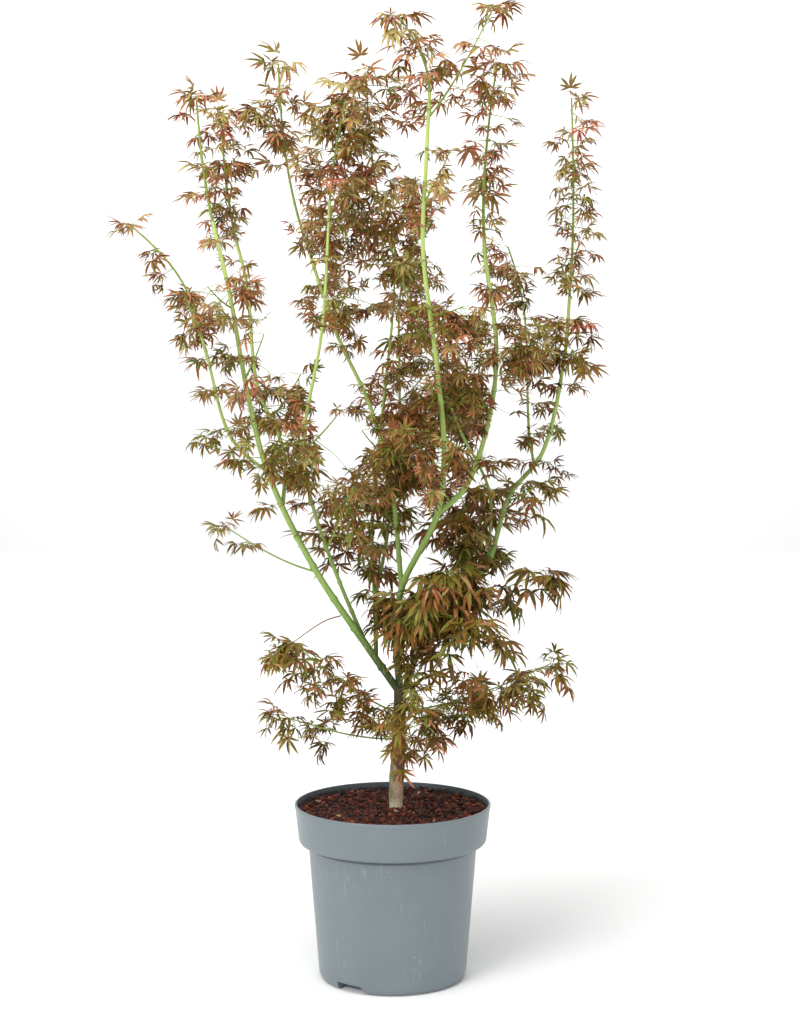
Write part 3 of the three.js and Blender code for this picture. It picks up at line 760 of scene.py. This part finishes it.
# Openings in the crown from front to back that stay clear of leaves: place across, height and radius.
OPENINGS = (
    (-72, 814, 45), (-167, 955, 44), (-88, 903, 34), (-44, 1026, 20), (-28, 977, 27), (-185, 1180, 44),
    (-189, 1105, 42), (-275, 1048, 26), (-150, 907, 22), (-107, 867, 18), (-193, 916, 18), (87, 1101, 42),
    (81, 1255, 34), (98, 1202, 22), (101, 1158, 22), (101, 1013, 22), (18, 1246, 26), (232, 1308, 42),
    (204, 1110, 42), (172, 872, 22), (167, 819, 34), (103, 493, 26), (147, 488, 22), (204, 642, 26),
    (-111, 537, 42), (-164, 634, 32), (-62, 337, 40), (101, 713, 18), (227, 1026, 24),
)
# limb: {mass: (height where it leaves, heading from +X, reach, rise, how far its leaves stand off, fullness)}
FOLIAGE = {
    "trunk": {
        "foot_right": (404, -5, 225, 75, 56, 1.56), "foot_left": (400, -165, 165, 115, 60, 1.01),
        "foot_left_low": (362, -175, 180, 40, 50, 0.69), "foot_front": (372, -75, 105, 50, 62, 1.45)},
    "left_bough": {
        "left_tall_top": (TIP, 160, 25, 182, 44, 0.42), "left_tall_tier": (1006, -125, 55, 30, 66, 1.5),
        "left_fork_front": (903, -60, 65, 65, 64, 1.01), "left_bough_front": (777, -70, 100, 65, 73, 1.5),
        "left_long_twig": (618, -165, 135, 70, 38, 0.24)},
    "left_outer_cane": {
        "left_outer_top": (TIP, -160, 90, 110, 42, 0.22), "left_outer_side": (962, -110, 50, 60, 40, 0.18)},
    "left_inner_cane": {
        "left_inner_top": (TIP, 180, 22, 190, 50, 1.7), "left_inner_low": (843, 55, 75, 65, 73, 1.22)},
    "left_centre_cane": {
        "left_centre_top": (TIP, 10, 30, 170, 68, 1.34), "left_centre_mid": (798, -40, 75, 60, 68, 0.1),
        "left_centre_low": (650, -65, 90, 95, 73, 0.28)},
    "back_left_cane": {
        "back_left_top": (TIP, 85, 20, 160, 71, 0.39), "back_left_low": (623, 130, 65, 80, 73, 0.78)},
    "back_right_cane": {
        "back_right_top": (TIP, 35, 55, 190, 71, 0.45), "back_right_mid": (866, 50, 85, 60, 80, 0.84)},
    "right_bough": {
        "front_top_left": (TIP, -170, 45, 105, 48, 1.35), "front_top_right": (1272, 25, 105, 164, 46, 0.79),
        "front_upper": (1155, -60, 70, 65, 57, 0.11), "front_mid": (996, -50, 70, 10, 68, 2.07),
        "front_low": (768, -115, 115, 60, 78, 3.23), "low_front": (529, -45, 110, 95, 75, 6)},
    "centre_cane": {
        "centre_top": (TIP, -165, 35, 245, 54, 0.59), "centre_upper": (1085, -50, 65, 85, 71, 1.22),
        "centre_mid": (1012, 55, 70, 25, 75, 1.41), "centre_deep": (785, -120, 70, 40, 73, 0.07),
        "centre_foot": (672, 115, 90, 65, 71, 0.21)},
    "right_cane": {
        "right_top": (TIP, -45, 25, 245, 48, 1.42), "right_mid": (927, -50, 70, 45, 60, 2.94),
        "right_low": (850, -115, 80, 60, 64, 3.15)},
    "low_right_bough": {
        "right_outer_top": (TIP, -90, 10, 295, 42, 1.45), "right_outer_mid": (915, -85, 60, 70, 60, 0.9),
        "right_fork": (715, -50, 70, 30, 56, 0.71), "right_bough_back": (624, 125, 80, 105, 75, 2.44),
        "low_right_outer": (564, -20, 135, 50, 66, 0.43), "low_right_front": (505, -65, 160, 45, 89, 0.67)},
    "crossing_cane": {
        "crossing_top": (TIP, -140, 45, 245, 68, 1), "crossing_side": (1066, -50, 85, 85, 66, 1.02),
        "crossing_mid": (952, -120, 90, 45, 75, 0.2), "crossing_low": (835, 120, 75, 35, 75, 3.69)},
    "right_inner_cane": {
        "right_inner_top": (TIP, 160, 25, 90, 50, 1.94)},
}
SEEDS = (81, 402, 63, 344, 5, 66, 67, 8, 429, 10, 51, 72, 393)  # one for each limb that bears foliage
STEM = {"points": 14, "sunk": 2, "knee": 0.4, "droop": 0.25}
SPRAY = {"longest": 108, "share": 1.28, "tilt": 0.3, "step": 23, "bare_tip": 5, "bare_side": 20}
# Leaves are longest in the crown's low tiers, and never longer than this share of their mass's spread.
BLADE = {"heights": (300, 470, 540, 640, 800, 1050, 1300, 1450), "lengths": (28, 30, 44, 42, 26, 27, 30, 33),
         "share": 0.64, "stalk": 0.36}
JOINT_SPRAYS = {"shortest": 40, "longest": 72, "longest_blade": 30}
ARCHING_SPRAYS = {"at": (0.45, 0.6, 0.75, 0.9, 1.0), "shortest": 38, "longest": 58, "longest_blade": 26}
ARCHING_RADII = (1.3, 0.7)
TWIG_RADIUS = {"stem_foot": 1.8, "stem_tip": 1.0, "cane_tip": 1.5, "shoot": 0.8, "twig": 0.6, "stalk": 0.38}
# Young bark and stalks have a thin wax on them that gives a slight sheen.
TWIG_COLOURS = {"green twig bark": "#8FAC42", "reddish leaf stalk": "#7A4C2C"}
# Each bend is in radians and has leaves of these numbers of lobes, which fan over this many degrees.
LEAF_SHAPES = {"lobes": (5, 7, 7, 7, 6, 7), "bends": (0.3, 0.7, 1.15), "fan": 230, "seed": 5}
LOBE = {"half_width": 0.08, "fold": 0.5}
SHORT_LEAF_BENDS, LONG_LEAF_BENDS = (0.3, 0.42, 0.28), (0.08, 0.42, 0.5)  # how often each bend is dealt
LOBE_LENGTHS = (1.0, 0.92, 0.74, 0.48)  # from the middle lobe outwards
# A leaf's colours are plain, dealt out by the spray. Its waxy upper skin gives a soft sheen.
LEAF_COLOURS = {
    "green leaf": "#787B2E",
    "olive leaf": "#846E22",
    "light olive leaf": "#AC9A5A",
    "bronze leaf": "#8F5D2C",
    "terracotta leaf": "#B67652",
    "wine-red leaf": "#8E3C2E",
    "shaded leaf": "#56431A",
}
# How often each colour is dealt to a spray, low in the crown and at its top: near the stalk, at the tips, and
# on the odd edge.
DEALS = (
    ((0.36, 0.34, 0.06, 0.08, 0.00, 0.00, 0.16), (0.12, 0.24, 0.44, 0.12, 0.08, 0.00, 0.00)),
    ((0.10, 0.26, 0.04, 0.39, 0.06, 0.00, 0.15), (0.00, 0.04, 0.26, 0.22, 0.43, 0.05, 0.00)),
    ((0.02, 0.06, 0.10, 0.20, 0.26, 0.04, 0.32), (0.00, 0.00, 0.30, 0.06, 0.40, 0.24, 0.00)),
)
CROWN_FOOT, CROWN_TOP = 700, 1250  # heights between which one deal turns into the other


def leaf_shape(lobes, bend, random):
    """One leaf a unit long: narrow lobes that fan from the stalk's end, each folded along its middle rib and
    bent down like a rib of an umbrella. Each face is marked: near the stalk, at the tips, or an odd edge."""
    points, faces, marks = [], [], []
    stations = ((0.0, 0.24), (0.38, 1.0), (0.72, 0.7))  # share of the lobe's length, share of its width
    middle = (lobes - 1) / 2
    fan = math.radians(LEAF_SHAPES["fan"] / (lobes + 0.2))
    for lobe in range(lobes):
        off = lobe - middle
        heading = off * fan + random.uniform(-0.14, 0.14)
        length = np.interp(abs(off) * 3 / middle * 0.85, range(4), LOBE_LENGTHS) * random.uniform(0.86, 1.08)
        curl = bend * random.uniform(0.6, 1.5)
        lean = random.uniform(-0.6, 0.6)
        out = unit(np.array([math.cos(heading), math.sin(heading), random.uniform(-0.3, 0.3)]))
        side = unit(np.array([-math.sin(heading), math.cos(heading), lean]))
        first = len(points)

        def along(share):
            angle = curl * share
            drop = np.array([0, 0, -(1 - math.cos(angle)) / curl * length])
            return out * length * math.sin(angle) / curl + drop

        for share, width in stations:
            half = LOBE["half_width"] * width * (0.6 + 0.4 * length)
            rib = along(share)
            raised = np.array([0, 0, half * LOBE["fold"]])
            points += [rib - side * half + raised, rib, rib + side * half + raised]
        points.append(along(1))
        tip = first + 3 * len(stations)
        tinted = random.random() < 0.85
        plain_side, edge = random.integers(0, 4, 2)  # 0 and 1 are this lobe's sides, 2 and 3 are neither
        for station in range(len(stations) - 1):
            a = first + 3 * station
            faces += [(a, a + 3, a + 4, a + 1), (a + 1, a + 4, a + 5, a + 2)]
            for half in (0, 1):
                marks.append(2 if half == edge else int(tinted and station > 0 and half != plain_side))
        a = tip - 3
        faces += [(a, tip, a + 1, -1), (a + 1, tip, a + 2, -1)]
        marks += [int(tinted)] * 2
    return np.array(points), np.array(faces), np.array(marks)


def leaf_shapes():
    """A few leaves of each bend, to be copied."""
    random = np.random.default_rng(LEAF_SHAPES["seed"])
    lobes = LEAF_SHAPES["lobes"]
    return [[leaf_shape(count, bend, random) for count in lobes] for bend in LEAF_SHAPES["bends"]]


class Growth:
    """The twigs and leaves of one limb while they grow, in millimetres."""

    def __init__(self, seed):
        self.random = np.random.default_rng(seed)
        self.twigs = []  # points, radii, bark
        self.leaves = []  # root of the blade, way, up, length, bend, the three colours of its spray

    def jitter(self, amount):
        return self.random.uniform(-amount, amount)

    def leaf(self, root, way, length, loose, bend, colours):
        """A stalk and its blade, unless that would touch a limb or reach out of the crown's space. Says if it
        grew."""
        for _ in range(4):
            out = unit(way + self.random.uniform(-loose, loose, 3))
            neck = root + out * length * BLADE["stalk"] * self.random.uniform(0.6, 1.5)
            if all(is_free(neck + out * length * share) for share in (0.15, 0.5, 0.95)):
                up = np.array([self.jitter(loose * 1.6), self.jitter(loose * 1.6), 1.0])
                self.twigs.append((np.array([root, neck]), [TWIG_RADIUS["stalk"]] * 2, 1))
                self.leaves.append((neck, out, up, length, bend, colours))
                return True
        return False

    def colours(self, height):
        """One spray's three colours, by its height in the crown."""
        share = np.clip((height - CROWN_FOOT) / (CROWN_TOP - CROWN_FOOT), 0, 1)
        picks = []
        for low, high in DEALS:
            deal = np.array(low) * (1 - share) + np.array(high) * share
            picks.append(int(self.random.choice(len(deal), p=deal / deal.sum())))
        return np.array(picks)

    def spray(self, root, way, size, longest_blade):
        """A fine twig that bows down, with leaves in pairs, each pair across the last, and one at its end.
        The twig is as long as its leaves reach, and there is none if no leaf grew. Says if it grew."""
        blade = min(np.interp(root[2], BLADE["heights"], BLADE["lengths"]), longest_blade)
        blade *= self.random.uniform(0.82, 1.28)
        heavy = np.clip((blade - 27) / 15, 0, 1)  # long leaves hang, short ones stand about loosely
        bends = np.array(SHORT_LEAF_BENDS) * (1 - heavy) + np.array(LONG_LEAF_BENDS) * heavy
        run = max(size - blade * (1 + BLADE["stalk"]), 7)
        bow = np.array([0, 0, -0.28 * run])

        def along(share):
            return root + way * run * share + bow * share ** 2

        across = unit(np.cross(way, (0.05, 0, 1)))
        above = np.cross(across, way)
        loose = 0.5 - 0.2 * heavy
        colours = self.colours(root[2])
        pairs = max(1, round(run / (blade * 0.33)))
        reached = 0
        for pair in range(pairs):
            share = (pair + 0.5) / pairs
            for half in (-1, 1):
                beside = above * 0.8 if pair % 2 else across
                out = beside * half + way * 0.6
                out[2] = out[2] * (0.7 - 0.25 * heavy) - 0.18 - 0.1 * heavy
                bend = int(self.random.choice(3, p=bends))
                length = blade * self.random.uniform(0.75, 1.05)
                if self.leaf(along(share), unit(out), length, loose, bend, colours):
                    reached = share
        if self.leaf(along(1), way, blade, loose * 0.6, int(self.random.choice(3, p=bends)), colours):
            reached = 1
        if reached:
            line = np.array([along(reached * share) for share in (0, 0.5, 1)])
            self.twigs.append((line, np.linspace(TWIG_RADIUS["twig"], TWIG_RADIUS["stalk"], 3), 0))
        return reached > 0


CLEAR = {"crown_box": 1, "mix": 14, "wood": 1.5, "shown_wood": 4}  # how far a leaf keeps off
CROWN_BOX = [np.array(corner) / MM for corner in cad_box]


def look_up_wood():
    """Points along every limb with its radius there, to look up what a leaf would touch, and those of the
    stretches that show, with their radius and depth, to look up what it would hide."""
    places, radii, shown_places, shown = [], [], [], []
    for name, route in routes.items():
        shares = np.linspace(0, 1, round(route.length / 4))
        low, high = SHOWN.get(name, (0, 0))
        for place, radius in zip(route.at(shares), radius_at(limb_radii[name], shares)):
            places.append(place)
            radii.append(radius)
            if low < place[2] < high:
                shown_places.append((place[0], 0, place[2]))
                shown.append((radius, place[1]))
    return look_up_tree(places), radii, look_up_tree(shown_places), shown


wood_tree, wood_radii, shown_tree, shown_wood = look_up_wood()


def is_free(place):
    """Whether a point is clear of the wood, inside the crown's box, and hides no limb that shows."""
    low, high = CROWN_BOX
    if (place < low + CLEAR["crown_box"]).any() or (place > high - CLEAR["crown_box"]).any():
        return False
    if place[2] < GROUND + CLEAR["mix"]:
        return False
    _, index, gap = wood_tree.find(Vector(place))
    if gap < wood_radii[index] + CLEAR["wood"]:
        return False
    if any(math.hypot(place[0] - x, place[2] - z) < radius for x, z, radius in OPENINGS):
        return False
    _, index, gap = shown_tree.find(Vector((place[0], 0, place[2])))
    radius, depth = shown_wood[index]
    return gap > radius + CLEAR["shown_wood"] or place[1] > depth


def grow_mass(growth, limb, spec):
    """The stem of one mass with its pairs of shoots, each ending in a spray, and leaves between them."""
    at, heading, reach, rise, spread, fullness = spec
    route = routes[limb]
    on_tip = at == TIP
    share = 1.0 if on_tip else route.share_at_height(at)
    foot = route.at(share)
    limb_way = route.way(share)
    angle = math.radians(heading)
    way = np.array([math.cos(angle) * reach, math.sin(angle) * reach, rise])
    tip = foot + way
    length = np.linalg.norm(way)
    lead = limb_way if on_tip else way / length - np.array([0, 0, STEM["droop"]])
    if on_tip:
        foot = foot - limb_way * STEM["sunk"]
    knee = foot + lead * length * STEM["knee"]
    shares = np.linspace(0, 1, STEM["points"])[:, None]
    stem = Route((1 - shares) ** 2 * foot + 2 * shares * (1 - shares) * knee + shares ** 2 * tip)
    limb_radius = float(radius_at(limb_radii[limb], share))
    stem_foot = limb_radius if on_tip else min(TWIG_RADIUS["stem_foot"], limb_radius * 0.8)
    stem_tip = TWIG_RADIUS["cane_tip" if on_tip else "stem_tip"]

    bare = (SPRAY["bare_tip"] if on_tip else SPRAY["bare_side"]) / length
    full_size = min(SPRAY["longest"], spread * SPRAY["share"])
    longest_blade = spread * BLADE["share"]
    pairs = max(2, round(length * (1 - bare) / SPRAY["step"] * fullness))
    across = unit(np.cross((0, 1, 0.01), way))
    turn = growth.jitter(0.4)
    reached = 0
    for pair in range(pairs):
        t = bare + (0.98 - bare) * (pair + 0.5 + growth.jitter(0.28)) / pairs
        place, up_stem = stem.at(t), stem.way(t, 0.05)
        beside = np.cross(up_stem, across)
        for half in (0, 1):
            angle = turn + (pair % 2) * math.pi / 2 + half * math.pi + growth.jitter(0.35)
            out = across * math.cos(angle) + beside * math.sin(angle) + up_stem * (0.3 + growth.jitter(0.2))
            out[2] = np.clip(out[2] * 0.6, -0.35, 0.35) - SPRAY["tilt"] + growth.jitter(0.22)
            out = unit(out)
            size = full_size * (1.05 - 0.15 * t) * growth.random.uniform(0.7, 1.08)
            shoot = max(spread * (1 + growth.jitter(0.15)) - size * 0.72, 0)
            if growth.spray(place + out * shoot, out, size, longest_blade):
                reached = t
                if shoot > 6:
                    growth.twigs.append((np.array([place, place + out * shoot]),
                                         [TWIG_RADIUS["shoot"], TWIG_RADIUS["twig"]], 0))
    for side in (-1, 0, 1):
        out = across * side + stem.way(1, 0.05) * (0.4 if side else 1)
        out[2] = min(out[2], 0.2)
        if growth.spray(stem.at(1), unit(out), full_size * 0.75, longest_blade):
            reached = 1
    # The stem ends at its last leafy shoot.
    line = stem.at(np.linspace(0, reached, STEM["points"]))
    growth.twigs.append((line, np.linspace(stem_foot, stem_tip, STEM["points"]), 0))


def grow_arching_twig(growth, route):
    growth.twigs.append((route.points, np.linspace(*ARCHING_RADII, len(route.points)), 1))
    for share in ARCHING_SPRAYS["at"]:
        for half in (-1, 1):
            out = unit(np.array([growth.jitter(0.6), half, -0.5]))
            size = growth.random.uniform(ARCHING_SPRAYS["shortest"], ARCHING_SPRAYS["longest"])
            growth.spray(route.at(share), out, size, ARCHING_SPRAYS["longest_blade"])


def grow_on_limb(growth, limb):
    """Pairs of leaves and short sprays at the limb's own joints, above the height where its leaves begin."""
    if limb == "trunk":
        return
    leafy_from = LIMBS[limb][4]
    route = routes[limb]
    for number, share in enumerate(limb_joints[limb]):
        place, way = route.at(share), route.way(share)
        if place[2] < leafy_from:
            continue
        across = unit(np.cross(way, (0.3, 1, 0) if number % 2 else (1, -0.3, 0)))
        radius = float(radius_at(limb_radii[limb], share))
        for half in (-1, 1):
            out = across * half + way * 0.25
            out[2] = min(out[2], 0.15) - 0.1
            out = unit(out)
            size = growth.random.uniform(JOINT_SPRAYS["shortest"], JOINT_SPRAYS["longest"])
            growth.spray(place + out * radius, out, size, JOINT_SPRAYS["longest_blade"])


def twig_arrays(twigs):
    """Three-sided closed tubes along short lines, as arrays of points, faces and each face's bark."""
    points, faces, barks, count = [], [], [], 0
    ring = np.arange(3) * math.tau / 3
    for line, radii, bark in twigs:
        way = line[-1] - line[0]
        is_upright = abs(way[2]) >= 0.9 * np.linalg.norm(way)
        axes = turned_axes(way, np.array([1.0, 0.2, 0] if is_upright else [0.31, 0.17, 0.93]))
        circle = np.outer(np.cos(ring), axes[1]) + np.outer(np.sin(ring), axes[2])
        rings = len(line)
        points.append(np.concatenate([place + circle * radius for place, radius in zip(line, radii)]))
        for first in range(count, count + 3 * (rings - 1), 3):
            for side in range(3):
                a, b = first + side, first + (side + 1) % 3
                faces.append((a, b, b + 3, a + 3))
        last = count + 3 * (rings - 1)
        faces += [(count + 2, count + 1, count, -1), (last, last + 1, last + 2, -1)]
        count += 3 * rings
        barks += [bark] * (len(faces) - len(barks))
    return np.concatenate(points), np.array(faces), np.array(barks)


def leaf_arrays(leaves, shapes, random):
    """All leaves of one limb as arrays of points, faces and each face's colour."""
    points, faces, indices, count = [], [], [], 0
    for neck, way, up, length, bend, colours in leaves:
        shape, shape_faces, marks = shapes[bend][random.integers(len(shapes[bend]))]
        points.append(shape * length @ turned_axes(way, up) + neck)
        faces.append(np.where(shape_faces < 0, -1, shape_faces + count))
        indices.append(colours[marks])
        count += len(shape)
    return np.concatenate(points), np.concatenate(faces), np.concatenate(indices)


def make_foliage():
    shapes = leaf_shapes()
    skins = [new_material(name, code, roughness=0.6, ior=1.33) for name, code in LEAF_COLOURS.items()]
    barks = [new_material(name, code, roughness=0.5) for name, code in TWIG_COLOURS.items()]
    for seed, (limb, masses) in zip(SEEDS, FOLIAGE.items()):
        growth = Growth(seed)
        for spec in masses.values():
            grow_mass(growth, limb, spec)
        grow_on_limb(growth, limb)
        if limb in ARCHING_TWIGS:
            grow_arching_twig(growth, smooth_route(ARCHING_TWIGS[limb], 4))
        nodes = ["foliage_" + mass for mass in masses]
        points, faces, indices = twig_arrays(growth.twigs)
        twigs = mesh_from_arrays("twigs", points * MM, faces, barks, indices)
        finish_piece(twigs, limb + "_twigs", nodes, smooth=80)
        points, faces, indices = leaf_arrays(growth.leaves, shapes, growth.random)
        leaves = mesh_from_arrays("leaves", points * MM, faces, skins, indices)
        finish_piece(leaves, limb + "_leaves", nodes)


make_foliage()
